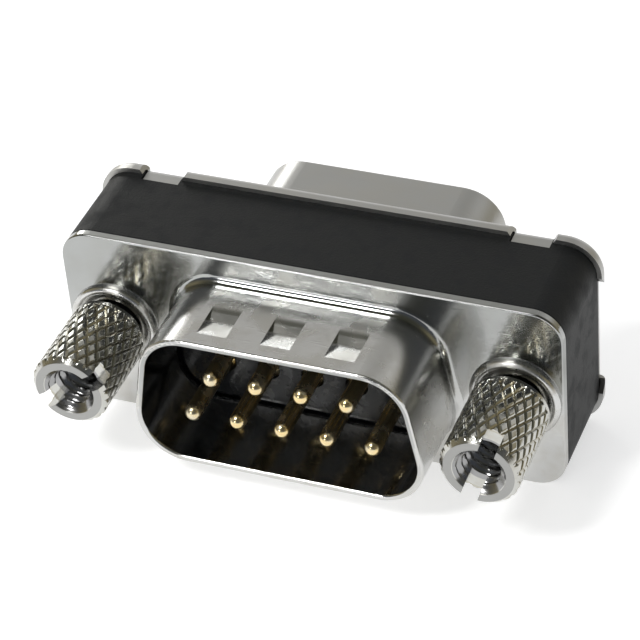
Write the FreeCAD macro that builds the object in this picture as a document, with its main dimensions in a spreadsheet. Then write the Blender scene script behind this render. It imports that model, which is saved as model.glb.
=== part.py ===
import FreeCAD, Part
import math
import os
import Sketcher

# Slim 9-way D-sub adapter: a pin side in front, a socket side behind, two captive jackscrews.
# X runs to the right, Y from the pin side to the socket side, Z up. Millimetres.
# The origin is on the connector's axis, in the plane of the front flange's front face.

SIZES = [
    ("contact_pitch", 2.77, "distance between contacts in a row"),
    ("row_spacing", 2.84, "distance between the two rows of contacts"),
    ("pin_shell_side", 2.92, "from the outermost contact to the inside of the pin side's D shell"),
    ("pin_shell_above", 2.76, "from a row of contacts to the inside of the pin side's D shell"),
    ("cavity_side", 1.34, "how much wider the housing's opening is than that shell, each side"),
    ("cavity_above", 0.62, "how much taller the housing's opening is than that shell, each side"),
    ("rivet_web", 0.8, "housing between its opening and a rivet's hole, sets the screws apart"),
    ("flange_end", 2.91, "from a jackscrew's axis to the flange's short side"),
    ("flange_above", 2.095, "from the inside of the pin side's D shell to the flange's long side"),
    ("flange_corner", 1.9, "radius of the flange's four corners"),
    ("front_sheet", 0.48, "thickness of the front flange"),
    ("housing_depth", 6.65, "moulded block between the two flanges"),
    ("rear_sheet", 0.28, "thickness of the rear flange and its rim"),
    ("edge_round", 0.12, "small rounding of the flange's and housing's front edges"),
    ("shell_slope", 10, "lean of the D shells' short sides, in degrees"),
    ("shell_bend", 0.5, "bend between a flange and its D shell"),
    ("lip_round", 0.14, "rounding of the D shells' lips"),
    ("pin_shell_corner", 2.6, "inside corner radius of the pin side's D shell"),
    ("pin_shell_wall", 0.4, "drawn wall of the pin side's D shell"),
    ("pin_shell_depth", 5.75, "pin side's D shell, from the flange to its lip"),
    ("dimple_spacing", 3.87, "distance between the pressed grounding dimples"),
    ("dimple_width", 1.8, "dimple, along the shell's wide side"),
    ("dimple_length", 2.37, "dimple, along the shell's depth"),
    ("dimple_start", 2.35, "from the flange to the dimple's rear edge"),
    ("dimple_valley", 0.73, "from the dimple's rear edge to its lowest line"),
    ("dimple_depth", 0.36, "how far the dimple is pressed in"),
    ("dimple_round", 0.25, "reach of the rounding along the dimple's rear edge, each way"),
    ("socket_shell_side", 2.625, "from the outermost contact to the outside of the socket side's shell"),
    ("socket_shell_above", 2.53, "from a row of contacts to the outside of the socket side's D shell"),
    ("socket_shell_corner", 2.6, "outside corner radius of the socket side's D shell"),
    ("socket_shell_wall", 0.38, "drawn wall of the socket side's D shell"),
    ("socket_shell_depth", 6.0, "socket side's D shell, from the flange to its lip"),
    ("rim_length", 0.9, "how far the rear flange's rim folds forward over the housing"),
    ("rim_clearance", 0.02, "between the rim and the housing"),
    ("rim_bend", 0.5, "outer bend radius of the rim"),
    ("rim_return", 2.975, "how far the rim comes round each corner, down the short sides"),
    ("rim_taper", 0.7, "height over which the rim grows to its full length"),
    ("side_inset", 0.15, "how far the rear flange's short sides stay inside the housing"),
    ("tab_inset", 0.945, "crimp tab's middle, from the jackscrew's axis inwards"),
    ("tab_width", 2.3, "crimp tab, side to side"),
    ("tab_length", 1.3, "how far a crimp tab folds forward"),
    ("tab_drop", 0.42, "how far a crimp tab is pressed in below the rim"),
    ("tab_gap", 0.04, "slit between a crimp tab and its notch, at the tab"),
    ("notch_flare", 0.26, "how much further each side of the notch opens at the rim"),
    ("notch_depth", 0.9, "depth of the notch below the rim's outside"),
    ("tab_clearance", 0.05, "between a crimp tab and the housing's recess"),
    ("cavity_corner", 1.2, "corner radius of the opening through the housing"),
    ("insulator_clearance", 0.05, "around the insulators in the housing and the shells"),
    ("floor_round", 0.22, "rounding of the pin side's floor along the shell"),
    ("insulator_split", 2.2, "from the front flange's back to the joint of the insulators"),
    ("socket_face_recess", 0.2, "socket insulator's face, behind the shell's lip"),
    ("face_chamfer", 0.2, "edge of the socket insulator's face"),
    ("pin_diameter", 1.02, "contact's pin"),
    ("pin_length", 5.3, "contact's pin, from the insulator's floor to its tip"),
    ("shank_diameter", 1.4, "contact's thicker shank in the pin side's insulator"),
    ("shank_start", 0.02, "how far in front of the insulator's floor the shank starts to widen"),
    ("shank_clearance", 0.02, "around the shanks in their insulator"),
    ("collar_diameter", 1.96, "contact's collar, held between the insulators"),
    ("collar_thickness", 0.6, "contact's collar, along its axis"),
    ("barrel_diameter", 1.66, "outside of the contact's socket"),
    ("barrel_clearance", 0.05, "around the contact's collar and socket in the insulators"),
    ("socket_bore", 1.05, "contact's bore for a mating pin"),
    ("socket_bore_depth", 5.0, "depth of the contact's bore"),
    ("slit_width", 0.18, "slit that splits the contact's socket into two springs"),
    ("slit_length", 3.2, "length of the contact's slit"),
    ("entry_diameter", 1.64, "pin entry through the socket insulator's face"),
    ("entry_thickness", 0.6, "socket insulator's face in front of the contacts"),
    ("entry_chamfer", 0.3, "funnel of a pin entry"),
    ("eyelet_bore", 3.05, "bore of the tubular rivet that guides a jackscrew"),
    ("eyelet_wall", 0.34, "wall of the tubular rivet"),
    ("eyelet_clearance", 0.03, "around the rivet in the flanges and the housing"),
    ("ring_diameter", 5.48, "outside of the rivet's rolled front ring"),
    ("bead_radius", 0.27, "roll of the rivet's front ring"),
    ("bead_seat", 0.11, "height of the roll's middle above the flange"),
    ("dish_edge", 0.26, "height of the rivet's dish above the flange, inside the roll"),
    ("dish_radius", 0.66, "curve of the rivet's dish into its bore"),
    ("clinch_diameter", 4.9, "outside of the rivet's rear roll"),
    ("clinch_thickness", 0.32, "height of the rivet's rear roll"),
    ("bore_chamfer", 0.12, "edge of the rivet's rear opening"),
    ("head_diameter", 4.76, "jackscrew's knurled head"),
    ("head_length", 5.95, "jackscrew's head, along its axis"),
    ("screw_play", 0.45, "how far a pulled-out jackscrew slides in until its head seats"),
    ("seat_clearance", 0.04, "between the seated head's back and the edge of the rivet's dish"),
    ("head_chamfer", 0.3, "chamfer at both ends of the head"),
    ("knurl_angle", 26.5, "slant of the knurl's grooves from the screw's axis, in degrees"),
    ("knurl_depth", 0.12, "depth of the knurl's grooves"),
    ("knurl_width", 0.28, "width of the knurl's grooves across the head"),
    ("knurl_band", 0.25, "plain band between the knurl and the chamfer at the head's back"),
    ("face_land", 0.48, "flat ring on the head's face, between its chamfer and its funnel"),
    ("mouth_depth", 0.45, "depth of the head's funnel"),
    ("thread_hole_diameter", 2.3, "head's threaded hole, at the thread's crests"),
    ("thread_hole_depth", 4.6, "head's threaded hole, to the end of its wall"),
    ("drill_point", 0.6, "cone at the end of the head's hole"),
    ("slot_width", 1.0, "screwdriver slot across the head"),
    ("slot_depth", 1.2, "depth of the screwdriver slot"),
    ("slot_angle_left", 32, "turn of the left head's slot from the X axis, in degrees"),
    ("slot_angle_right", 72, "turn of the right head's slot from the X axis, in degrees"),
    ("neck_diameter", 2.5, "jackscrew's plain shank in the rivet"),
    ("stud_diameter", 2.845, "jackscrew's rear thread, over its crests"),
    ("stud_reach", 4.8, "from the rear flange's back to the stud's tip, screw pulled out"),
    ("stud_chamfer", 0.35, "chamfer at the stud's tip"),
    ("groove_diameter", 1.9, "jackscrew's groove for the retaining clip"),
    ("groove_clearance", 0.03, "along the axis, each side of the clip in its groove"),
    ("clip_gap", 0.05, "between the clip and the rivet's rear roll, screw pulled out"),
    ("clip_diameter", 4.5, "outside of the retaining clip"),
    ("clip_thickness", 0.38, "retaining clip, along the axis"),
    ("clip_clearance", 0.05, "around the groove, inside the clip"),
    ("clip_throat", 1.72, "opening that the clip is pushed on through"),
    ("clip_relief", 3.1, "diameter of the clip's two inner reliefs"),
    ("clip_land", 32, "half angle of each of the clip's gripping lands, in degrees"),
    ("clip_overcut", 0.3, "how far the clip's reliefs are cut inside its grip, clear of the lands"),
]

# Stations along Y, measured from the front flange's front face.
REAR_FRONT = "(sizes.front_sheet + sizes.housing_depth)"
REAR_FACE = f"({REAR_FRONT} + sizes.rear_sheet)"
PIN_LIP = "(-sizes.pin_shell_depth)"
SOCKET_LIP = f"({REAR_FACE} + sizes.socket_shell_depth)"
SPLIT = "(sizes.front_sheet + sizes.insulator_split)"
SOCKET_FACE = f"({SOCKET_LIP} - sizes.socket_face_recess)"
SOCKET_MOUTH = f"({SOCKET_FACE} - sizes.entry_thickness)"
RIM_EDGE = f"({REAR_FACE} - sizes.rim_length)"
TAB_EDGE = f"({REAR_FACE} - sizes.tab_length)"
CLINCH_TOP = f"({REAR_FACE} + sizes.clinch_thickness)"
CLIP_FRONT = f"({CLINCH_TOP} + sizes.clip_gap)"
HEAD_BACK = "(-sizes.dish_edge - sizes.seat_clearance - sizes.screw_play)"
HEAD_FACE = f"({HEAD_BACK} - sizes.head_length)"

BOTTOM_COUNT = 5
TOP_COUNT = 4
DIMPLE_COUNT = 3
KNURL_COUNT = 11
NEAR = 0.001

# Outlines, from the contacts outwards to the rim round the rear flange.
CONTACT_SPAN = f"{BOTTOM_COUNT - 1} * sizes.contact_pitch"
PIN_SHELL_WIDTH = f"({CONTACT_SPAN} + 2 * sizes.pin_shell_side)"
PIN_SHELL_HEIGHT = "(sizes.row_spacing + 2 * sizes.pin_shell_above)"
SOCKET_SHELL_WIDTH = f"({CONTACT_SPAN} + 2 * sizes.socket_shell_side)"
SOCKET_SHELL_HEIGHT = "(sizes.row_spacing + 2 * sizes.socket_shell_above)"
CAVITY_WIDTH = f"({PIN_SHELL_WIDTH} + 2 * sizes.cavity_side)"
CAVITY_HEIGHT = f"({PIN_SHELL_HEIGHT} + 2 * sizes.cavity_above)"
EYELET_RADIUS = "(sizes.eyelet_bore / 2 + sizes.eyelet_wall)"
EYELET_HOLE = f"({EYELET_RADIUS} + sizes.eyelet_clearance)"
SCREW_PLACE = f"({CAVITY_WIDTH} / 2 + sizes.rivet_web + {EYELET_HOLE})"
FLANGE_WIDTH = f"(2 * ({SCREW_PLACE} + sizes.flange_end))"
FLANGE_HEIGHT = f"({PIN_SHELL_HEIGHT} + 2 * sizes.flange_above)"
RIM_GROWTH = "(sizes.rim_clearance + sizes.rear_sheet)"
RIM_WIDTH = f"({FLANGE_WIDTH} + 2 * {RIM_GROWTH})"
RIM_HEIGHT = f"({FLANGE_HEIGHT} + 2 * {RIM_GROWTH})"
RIM_CORNER = f"(sizes.flange_corner + {RIM_GROWTH})"
RIM_END = f"({RIM_HEIGHT} / 2 - sizes.rim_return)"
TAB_PLACE = f"({SCREW_PLACE} - sizes.tab_inset)"
TAB_TOP = f"({RIM_HEIGHT} / 2 - sizes.tab_drop)"

doc = FreeCAD.newDocument("adapter")
sizes = doc.addObject("Spreadsheet::Sheet", "sizes")
for line, (alias, value, meaning) in enumerate(SIZES, start=1):
    sizes.set(f"A{line}", meaning)
    sizes.set(f"B{line}", str(value))
    sizes.setAlias(f"B{line}", alias)
doc.recompute()


def number(expression):
    """Value of an expression of the sheet."""
    return float(sizes.evalExpression(expression))


def new_body(label):
    body = doc.addObject("PartDesign::Body", label)
    body.Label = label
    return body


def place(body, across="0", up="0"):
    body.setExpression("Placement.Base.x", across)
    body.setExpression("Placement.Base.z", up)


def origin_part(body, role):
    return [part for part in body.Origin.OriginFeatures if part.Role == role][0]


def sketch_on(body, name, role, offset):
    """Sketch parallel to one of the body's own planes, moved along that plane's normal."""
    sketch = body.newObject("Sketcher::SketchObject", name)
    sketch.AttachmentSupport = [(origin_part(body, role), "")]
    sketch.MapMode = "FlatFace"
    sketch.setExpression("AttachmentOffset.Base.z", offset)
    return sketch


def front_view(body, name, station):
    """Sketch seen from the front, X across and Z up, at a station along Y."""
    return sketch_on(body, name, "XZ_Plane", f"-({station})")


def bind(sketch, constraint, expression):
    index = sketch.addConstraint(constraint)
    sketch.setExpression(f"Constraints[{index}]", expression)


def hold_point(sketch, edge, end, across, up):
    """Fix a point of the sketch at two expressions; 0 puts it on the axis."""
    for kind, axis, where in (("DistanceX", -2, across), ("DistanceY", -1, up)):
        if where == "0":
            sketch.addConstraint(Sketcher.Constraint("PointOnObject", edge, end, axis))
        else:
            bind(sketch, Sketcher.Constraint(kind, edge, end, number(where)), where)


def arc_between(start, end, radius, turn):
    """Arc under a half circle from start to end; its centre lies on the side it turns to."""
    chord = end - start
    aside = FreeCAD.Vector(-chord.y, chord.x, 0).normalize()
    if turn == "right":
        aside = -aside
    reach = math.sqrt(radius ** 2 - (chord.Length / 2) ** 2)
    centre = (start + end) * 0.5 + aside * reach
    first, last = (start, end) if turn == "left" else (end, start)
    begin = math.atan2(first.y - centre.y, first.x - centre.x)
    finish = math.atan2(last.y - centre.y, last.x - centre.x)
    if finish < begin:
        finish += 2 * math.pi
    circle = Part.Circle(centre, FreeCAD.Vector(0, 0, 1), radius)
    return Part.ArcOfCircle(circle, begin, finish)


def outline(sketch, corners):
    """Closed outline through corners given as expressions.

    A corner is (across, up), or (across, up, radius, turn) where an arc leads on from it.
    """
    points = [FreeCAD.Vector(number(corner[0]), number(corner[1]), 0) for corner in corners]
    edges = []
    for index, corner in enumerate(corners):
        start = points[index]
        end = points[(index + 1) % len(points)]
        if len(corner) == 2:
            edges.append((sketch.addGeometry(Part.LineSegment(start, end), False), 1, 2))
            continue
        radius, turn = corner[2:]
        arc = sketch.addGeometry(arc_between(start, end, number(radius), turn), False)
        bind(sketch, Sketcher.Constraint("Radius", arc, number(radius)), radius)
        edges.append((arc, 1, 2) if turn == "left" else (arc, 2, 1))
    for index, (edge, first, last) in enumerate(edges):
        following, next_first, _ = edges[(index + 1) % len(edges)]
        sketch.addConstraint(Sketcher.Constraint("Coincident", edge, last, following, next_first))
        hold_point(sketch, edge, first, corners[index][0], corners[index][1])


def circle(sketch, across, up, radius):
    centre = FreeCAD.Vector(number(across), number(up), 0)
    ring = Part.Circle(centre, FreeCAD.Vector(0, 0, 1), number(radius))
    edge = sketch.addGeometry(ring, False)
    bind(sketch, Sketcher.Constraint("Radius", edge, number(radius)), radius)
    hold_point(sketch, edge, 3, across, up)


def rounded_plate(sketch, width, height, corner):
    """Rectangle with rounded corners, centred on the axis."""
    side, top = f"({width}) / 2", f"({height}) / 2"
    inner, below = f"{side} - ({corner})", f"{top} - ({corner})"
    outline(sketch, [
        (inner, f"-({top})", corner, "left"),
        (side, f"-({below})"),
        (side, below, corner, "left"),
        (inner, top),
        (f"-({inner})", top, corner, "left"),
        (f"-({side})", below),
        (f"-({side})", f"-({below})", corner, "left"),
        (f"-({inner})", f"-({top})"),
    ])


def keystone(sketch, width, height, corner):
    """D outline: wide side down, short sides leaning in by the shell's slope, corners rounded."""
    bottom, top = f"-({height}) / 2", f"({height}) / 2"
    low = f"({width}) / 2 - ({corner})"
    high = f"{low} - (({height}) - 2 * ({corner})) * tan(sizes.shell_slope)"
    out = f"({corner}) * cos(sizes.shell_slope)"
    rise = f"({corner}) * sin(sizes.shell_slope)"
    low_side = f"({corner}) - ({height}) / 2 + {rise}"
    high_side = f"({height}) / 2 - ({corner}) + {rise}"
    outline(sketch, [
        (low, bottom, corner, "left"),
        (f"{low} + {out}", low_side),
        (f"{high} + {out}", high_side, corner, "left"),
        (high, top),
        (f"-({high})", top, corner, "left"),
        (f"-({high} + {out})", high_side),
        (f"-({low} + {out})", low_side, corner, "left"),
        (f"-({low})", bottom),
    ])


def raised(body, kind, name, sketch, length, backward=False):
    """Pad or pocket of a sketch; a pad goes along the sketch's normal and a pocket against it."""
    feature = body.newObject(kind, name)
    feature.Profile = sketch
    feature.setExpression("Length", length)
    feature.Reversed = backward
    doc.recompute()
    return feature


def pad(body, name, sketch, length, backward=False):
    return raised(body, "PartDesign::Pad", name, sketch, length, backward)


def pocket(body, name, sketch, length, backward=False):
    return raised(body, "PartDesign::Pocket", name, sketch, length, backward)


def turned(body, name, corners):
    """Solid of revolution about Y, from a half section of (radius, station) corners."""
    sketch = sketch_on(body, f"{name}_section", "XY_Plane", "0")
    outline(sketch, corners)
    feature = body.newObject("PartDesign::Revolution", name)
    feature.Profile = sketch
    feature.ReferenceAxis = (sketch, ["V_Axis"])
    doc.recompute()
    return feature


def edges_where(feature, test):
    return [f"Edge{index}" for index, edge in enumerate(feature.Shape.Edges, start=1) if test(edge)]


def at_station(edge, station):
    """Whether an edge lies in the plane across Y at a station."""
    box = edge.BoundBox
    where = number(station)
    return abs(box.YMin - where) < NEAR and abs(box.YMax - where) < NEAR


def reach_across(edge):
    """Farthest distance of an edge's points from the connector's middle plane."""
    return max(abs(edge.BoundBox.XMin), abs(edge.BoundBox.XMax))


def fillet(body, name, feature, radius, test):
    rounding = body.newObject("PartDesign::Fillet", name)
    rounding.Base = (feature, edges_where(feature, test))
    rounding.setExpression("Radius", radius)
    doc.recompute()
    return rounding


def chamfer(body, name, feature, size, test):
    bevel = body.newObject("PartDesign::Chamfer", name)
    bevel.Base = (feature, edges_where(feature, test))
    bevel.setExpression("Size", size)
    doc.recompute()
    return bevel


def screw_holes(body, name, station, radius, length):
    """Two round holes on the jackscrews' axes."""
    sketch = front_view(body, f"{name}_circles", station)
    for side in ("", "-"):
        circle(sketch, f"{side}{SCREW_PLACE}", "0", radius)
    return pocket(body, name, sketch, length)


def contact_places():
    """Middle of each contact, across and up: five below, then four above, from the right."""
    rows = ((BOTTOM_COUNT, "-sizes.row_spacing / 2"), (TOP_COUNT, "sizes.row_spacing / 2"))
    places = []
    for count, up in rows:
        for index in range(count):
            steps = (count - 1) / 2 - index
            places.append((f"{steps} * sizes.contact_pitch" if steps else "0", up))
    return places


def contact_holes(body, name, station, radius, length):
    sketch = front_view(body, f"{name}_circles", station)
    for across, up in contact_places():
        circle(sketch, across, up, radius)
    return pocket(body, name, sketch, length)


def pressed_dimples(body):
    """Valleys pressed into the long upper side of the pin side's D shell."""
    rear = "-sizes.dimple_start"
    valley = "-(sizes.dimple_start + sizes.dimple_valley)"
    front = "-(sizes.dimple_start + sizes.dimple_length)"
    inside = f"{PIN_SHELL_HEIGHT} / 2"
    outside = f"({inside} + sizes.pin_shell_wall)"
    side = f"-(sizes.dimple_spacing * {(DIMPLE_COUNT - 1) / 2} + sizes.dimple_width / 2)"
    bump = sketch_on(body, "dimple_bump_section", "YZ_Plane", side)
    outline(bump, [
        (rear, f"{inside} + sizes.pin_shell_wall / 2"),
        (rear, inside),
        (valley, f"{inside} - sizes.dimple_depth"),
        (front, inside),
        (front, f"{inside} + sizes.pin_shell_wall / 2"),
    ])
    slope = "atan(sizes.dimple_depth / sizes.dimple_valley)"
    above = f"{outside} + sizes.dimple_depth"
    brink = "sizes.dimple_round - sizes.dimple_start"
    dent = sketch_on(body, "dimple_dent_section", "YZ_Plane", side)
    outline(dent, [
        (brink, above),
        (brink, outside, f"sizes.dimple_round / tan({slope} / 2)", "left"),
        (f"{rear} - sizes.dimple_round * cos({slope})", f"{outside} - sizes.dimple_round * sin({slope})"),
        (valley, f"{outside} - sizes.dimple_depth"),
        (front, outside),
        (front, above),
    ])
    bumps = pad(body, "dimple_bumps", bump, "sizes.dimple_width")
    repeat(body, "dimple_bump_row", bumps, "sizes.dimple_spacing")
    dents = pocket(body, "dimple_dents", dent, "sizes.dimple_width", backward=True)
    return repeat(body, "dimple_dent_row", dents, "sizes.dimple_spacing")


def repeat(body, name, feature, spacing):
    """Row of the shell's dimples along X."""
    row = body.newObject("PartDesign::LinearPattern", name)
    row.Originals = [feature]
    row.Direction = (origin_part(body, "X_Axis"), [""])
    row.Mode = "Spacing"
    row.Occurrences = DIMPLE_COUNT
    row.setExpression("Offset", spacing)
    body.Tip = row
    doc.recompute()
    return row


def make_pin_shell():
    """Front flange with the pin side's D shell drawn out of it."""
    body = new_body("pin_shell")
    plate = front_view(body, "flange_outline", "0")
    rounded_plate(plate, FLANGE_WIDTH, FLANGE_HEIGHT, "sizes.flange_corner")
    flange = pad(body, "flange", plate, "sizes.front_sheet", backward=True)
    fillet(body, "flange_edge", flange, "sizes.edge_round", lambda edge: at_station(edge, "0"))

    outer = front_view(body, "shell_outline", "sizes.front_sheet")
    keystone(
        outer,
        f"{PIN_SHELL_WIDTH} + 2 * sizes.pin_shell_wall",
        f"{PIN_SHELL_HEIGHT} + 2 * sizes.pin_shell_wall",
        "sizes.pin_shell_corner + sizes.pin_shell_wall",
    )
    shell = pad(body, "shell", outer, "sizes.front_sheet + sizes.pin_shell_depth")
    widest = number(f"{PIN_SHELL_WIDTH} / 2 + sizes.pin_shell_wall") + NEAR
    shell = fillet(
        body, "shell_bend", shell, "sizes.shell_bend",
        lambda edge: at_station(edge, "0") and reach_across(edge) < widest,
    )

    inner = front_view(body, "opening_outline", PIN_LIP)
    keystone(inner, PIN_SHELL_WIDTH, PIN_SHELL_HEIGHT, "sizes.pin_shell_corner")
    shell = pocket(body, "opening", inner, "sizes.pin_shell_depth + sizes.front_sheet")
    shell = fillet(
        body, "shell_inner_bend", shell, "sizes.shell_bend + sizes.pin_shell_wall",
        lambda edge: at_station(edge, "sizes.front_sheet") and reach_across(edge) < widest,
    )
    shell = fillet(body, "lip", shell, "sizes.lip_round", lambda edge: at_station(edge, PIN_LIP))
    shell = screw_holes(body, "rivet_holes", "0", EYELET_HOLE, "sizes.front_sheet")
    pressed_dimples(body)
    return body


def make_socket_shell():
    """Rear flange with its folded rim, four crimp tabs and the socket side's D shell."""
    body = new_body("socket_shell")
    outer = front_view(body, "rim_outline", REAR_FACE)
    rounded_plate(outer, RIM_WIDTH, RIM_HEIGHT, RIM_CORNER)
    pan = pad(body, "rim", outer, "sizes.rim_length")
    pan = fillet(body, "rim_bend", pan, "sizes.rim_bend", lambda edge: at_station(edge, REAR_FACE))

    hollow = front_view(body, "rim_hollow_outline", RIM_EDGE)
    rounded_plate(
        hollow,
        f"{RIM_WIDTH} - 2 * sizes.rear_sheet",
        f"{RIM_HEIGHT} - 2 * sizes.rear_sheet",
        f"{RIM_CORNER} - sizes.rear_sheet",
    )
    pan = pocket(body, "rim_hollow", hollow, "sizes.rim_length - sizes.rear_sheet")
    pan = fillet(
        body, "rim_inner_bend", pan, "sizes.rim_bend - sizes.rear_sheet",
        lambda edge: at_station(edge, REAR_FRONT),
    )

    trim_short_sides(body)
    cut_notches(body)
    fold_tabs(body)

    tube = front_view(body, "shell_outline", REAR_FRONT)
    keystone(tube, SOCKET_SHELL_WIDTH, SOCKET_SHELL_HEIGHT, "sizes.socket_shell_corner")
    shell = pad(body, "shell", tube, "sizes.rear_sheet + sizes.socket_shell_depth", backward=True)
    widest = number(f"{SOCKET_SHELL_WIDTH} / 2") + NEAR
    tallest = number(f"{SOCKET_SHELL_HEIGHT} / 2") + NEAR
    shell = fillet(
        body, "shell_bend", shell, "sizes.shell_bend",
        lambda edge: at_station(edge, REAR_FACE) and reach_across(edge) < widest
        and abs(edge.BoundBox.ZMax) < tallest and abs(edge.BoundBox.ZMin) < tallest,
    )
    opening = front_view(body, "opening_outline", REAR_FRONT)
    keystone(
        opening,
        f"{SOCKET_SHELL_WIDTH} - 2 * sizes.socket_shell_wall",
        f"{SOCKET_SHELL_HEIGHT} - 2 * sizes.socket_shell_wall",
        "sizes.socket_shell_corner - sizes.socket_shell_wall",
    )
    shell = pocket(body, "opening", opening, "sizes.rear_sheet + sizes.socket_shell_depth")
    shell = fillet(
        body, "shell_inner_bend", shell, "sizes.shell_bend + sizes.socket_shell_wall",
        lambda edge: at_station(edge, REAR_FRONT) and reach_across(edge) < widest
        and abs(edge.BoundBox.ZMax) < tallest and abs(edge.BoundBox.ZMin) < tallest,
    )
    shell = fillet(body, "lip", shell, "sizes.lip_round", lambda edge: at_station(edge, SOCKET_LIP))
    screw_holes(body, "rivet_holes", REAR_FRONT, EYELET_HOLE, "sizes.rear_sheet")
    return body


def trim_short_sides(body):
    """Open the rim on the short sides, where it tapers out below and above the corners."""
    outside = f"{RIM_WIDTH} / 2 + sizes.rear_sheet"
    edge = f"{FLANGE_WIDTH} / 2 - sizes.side_inset"
    sides = front_view(body, "short_side_outline", RIM_EDGE)
    for sign in ("", "-"):
        outline(sides, [
            (f"{sign}({edge})", f"-{RIM_END}"), (f"{sign}({outside})", f"-{RIM_END}"),
            (f"{sign}({outside})", RIM_END), (f"{sign}({edge})", RIM_END),
        ])
    pocket(body, "short_sides", sides, "sizes.rim_length")
    tapers = sketch_on(body, "rim_taper_outline", "YZ_Plane", outside)
    for sign in ("", "-"):
        outline(tapers, [
            (f"{RIM_EDGE} - sizes.rear_sheet", f"{sign}{RIM_END}"),
            (REAR_FRONT, f"{sign}{RIM_END}"),
            (RIM_EDGE, f"{sign}({RIM_END} + sizes.rim_taper)"),
            (f"{RIM_EDGE} - sizes.rear_sheet", f"{sign}({RIM_END} + sizes.rim_taper)"),
        ])
    pocket(body, "rim_tapers", tapers, f"2 * ({outside})")


def cut_notches(body):
    """Four notches in the rim, flared towards the outside, that leave room for the tabs."""
    top = f"{RIM_HEIGHT} / 2"
    narrow = "(sizes.tab_width / 2 + sizes.tab_gap)"
    wide = f"({narrow} + sizes.notch_flare * (1 + sizes.rear_sheet / sizes.tab_drop))"
    notches = front_view(body, "notch_outline", RIM_EDGE)
    for across in ("", "-"):
        for up in ("", "-"):
            outline(notches, [
                (f"{across}({TAB_PLACE} - {narrow})", f"{up}({top} - sizes.notch_depth)"),
                (f"{across}({TAB_PLACE} + {narrow})", f"{up}({top} - sizes.notch_depth)"),
                (f"{across}({TAB_PLACE} + {narrow})", f"{up}({top} - sizes.tab_drop)"),
                (f"{across}({TAB_PLACE} + {wide})", f"{up}({top} + sizes.rear_sheet)"),
                (f"{across}({TAB_PLACE} - {wide})", f"{up}({top} + sizes.rear_sheet)"),
                (f"{across}({TAB_PLACE} - {narrow})", f"{up}({top} - sizes.tab_drop)"),
            ])
    return pocket(body, "notches", notches, "sizes.rim_length")


def fold_tabs(body):
    """Crimp tabs: the flange's sheet folded forward, pressed in below the rim."""
    start = f"{TAB_PLACE} - sizes.tab_width / 2"
    root = f"({RIM_HEIGHT} / 2 - sizes.notch_depth)"
    under = f"({TAB_TOP} - sizes.rear_sheet)"
    inner_bend = "(sizes.rim_bend - sizes.rear_sheet)"
    for side, offset in (("right", start), ("left", f"-({start} + sizes.tab_width)")):
        section = sketch_on(body, f"{side}_tab_section", "YZ_Plane", offset)
        for sign, turn, back in (("", "left", "right"), ("-", "right", "left")):
            outline(section, [
                (REAR_FRONT, f"{sign}({root} - sizes.rear_sheet)"),
                (REAR_FACE, f"{sign}({root} - sizes.rear_sheet)"),
                (REAR_FACE, f"{sign}({TAB_TOP} - sizes.rim_bend)", "sizes.rim_bend", turn),
                (f"{REAR_FACE} - sizes.rim_bend", f"{sign}{TAB_TOP}"),
                (TAB_EDGE, f"{sign}{TAB_TOP}"),
                (TAB_EDGE, f"{sign}{under}"),
                (f"{REAR_FRONT} - {inner_bend}", f"{sign}{under}", inner_bend, back),
                (REAR_FRONT, f"{sign}({under} - {inner_bend})"),
            ])
        pad(body, f"{side}_tabs", section, "sizes.tab_width")


def make_housing():
    """Moulded block between the flanges, open through its middle for the insulators."""
    body = new_body("housing")
    block = front_view(body, "block_outline", "sizes.front_sheet")
    rounded_plate(block, FLANGE_WIDTH, FLANGE_HEIGHT, "sizes.flange_corner")
    solid = pad(body, "block", block, "sizes.housing_depth", backward=True)
    solid = fillet(body, "rear_edge", solid, "sizes.rim_bend", lambda edge: at_station(edge, REAR_FRONT))
    fillet(
        body, "front_edge", solid, "sizes.edge_round",
        lambda edge: at_station(edge, "sizes.front_sheet"),
    )
    cavity = front_view(body, "cavity_outline", "sizes.front_sheet")
    rounded_plate(cavity, CAVITY_WIDTH, CAVITY_HEIGHT, "sizes.cavity_corner")
    pocket(body, "cavity", cavity, "sizes.housing_depth")
    screw_holes(body, "rivet_holes", "sizes.front_sheet", EYELET_HOLE, "sizes.housing_depth")

    floor = f"({TAB_TOP} - sizes.rear_sheet - sizes.tab_clearance)"
    front = f"({TAB_EDGE} - sizes.tab_clearance)"
    bevel = "(sizes.rim_bend - sizes.rear_sheet + sizes.tab_clearance)"
    width = "(sizes.tab_width + 2 * sizes.tab_clearance)"
    start = f"({TAB_PLACE} - {width} / 2)"
    for side, offset in (("right", start), ("left", f"-({start} + {width})")):
        section = sketch_on(body, f"{side}_recess_section", "YZ_Plane", offset)
        for sign in ("", "-"):
            outline(section, [
                (front, f"{sign}{floor}"),
                (f"{REAR_FRONT} - {bevel}", f"{sign}{floor}"),
                (REAR_FRONT, f"{sign}({floor} - {bevel})"),
                (REAR_FACE, f"{sign}({floor} - {bevel})"),
                (REAR_FACE, f"{sign}{RIM_HEIGHT} / 2"),
                (front, f"{sign}{RIM_HEIGHT} / 2"),
            ])
        pocket(body, f"{side}_tab_recesses", section, width, backward=True)
    return body


def insulator_base(body, station, length):
    """Slab that fills the housing's opening."""
    base = front_view(body, "base_outline", station)
    rounded_plate(
        base,
        f"{CAVITY_WIDTH} - 2 * sizes.insulator_clearance",
        f"{CAVITY_HEIGHT} - 2 * sizes.insulator_clearance",
        "sizes.cavity_corner - sizes.insulator_clearance",
    )
    return pad(body, "base", base, length, backward=True)


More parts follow.
